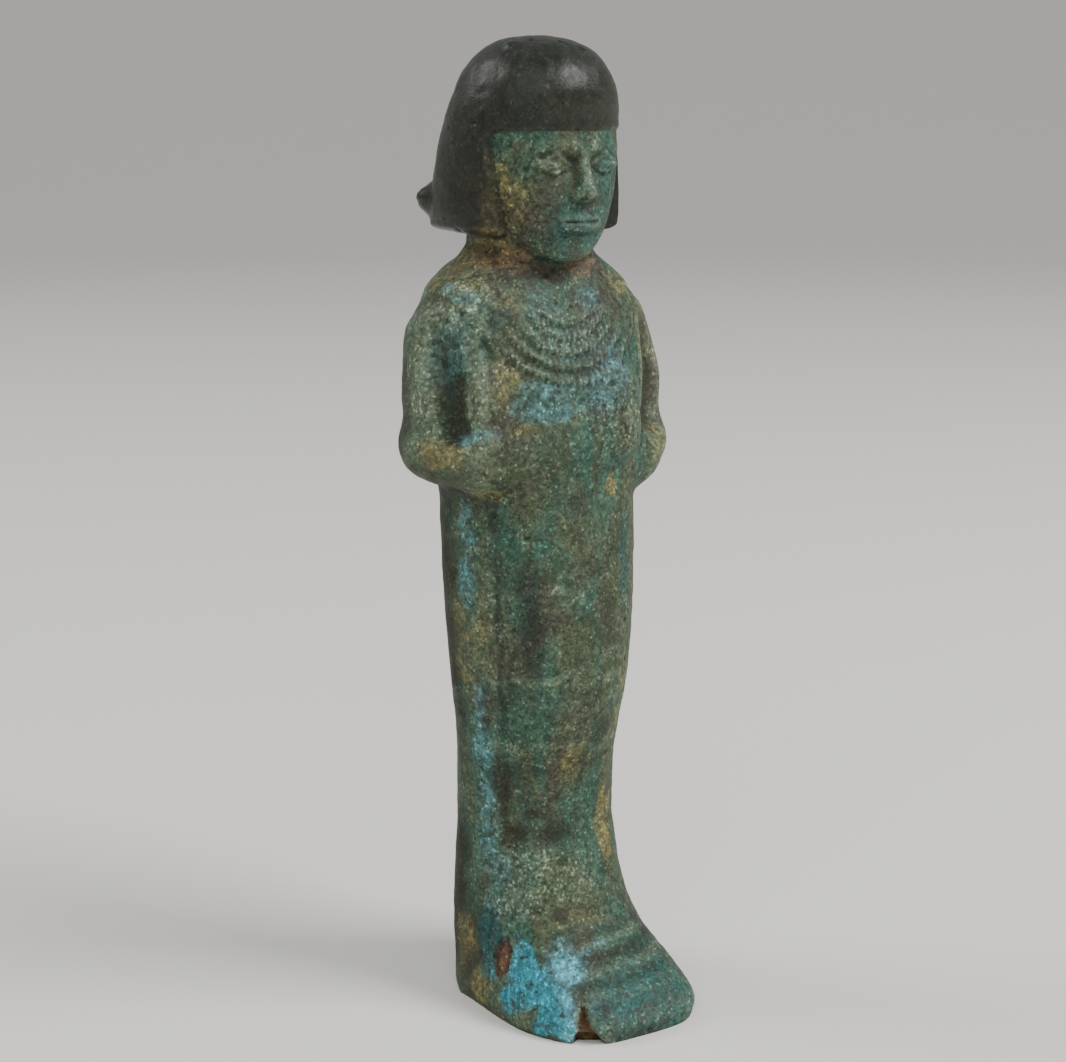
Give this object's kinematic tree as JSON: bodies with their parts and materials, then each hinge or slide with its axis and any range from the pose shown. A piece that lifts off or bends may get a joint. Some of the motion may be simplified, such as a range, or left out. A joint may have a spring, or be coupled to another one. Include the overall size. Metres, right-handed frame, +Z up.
{
  "type": "ushabti figurine",
  "caption": "Small mummiform funerary figure in weathered blue-green faience, with a short wig, a broad collar and folded arms, standing on a flat sole.",
  "frame": {"origin": "point of the flat sole under the body's upright axis", "axes": "+Z up along the body, -Y towards the front of the figure, -X towards its right hand"},
  "size_m": [0.0348, 0.0344, 0.11],
  "materials": {
    "faience": "weathered, semi-matt"
  },
  "bodies": {
    "root": {"figurine": "faience"}
  },
  "joints": []
}
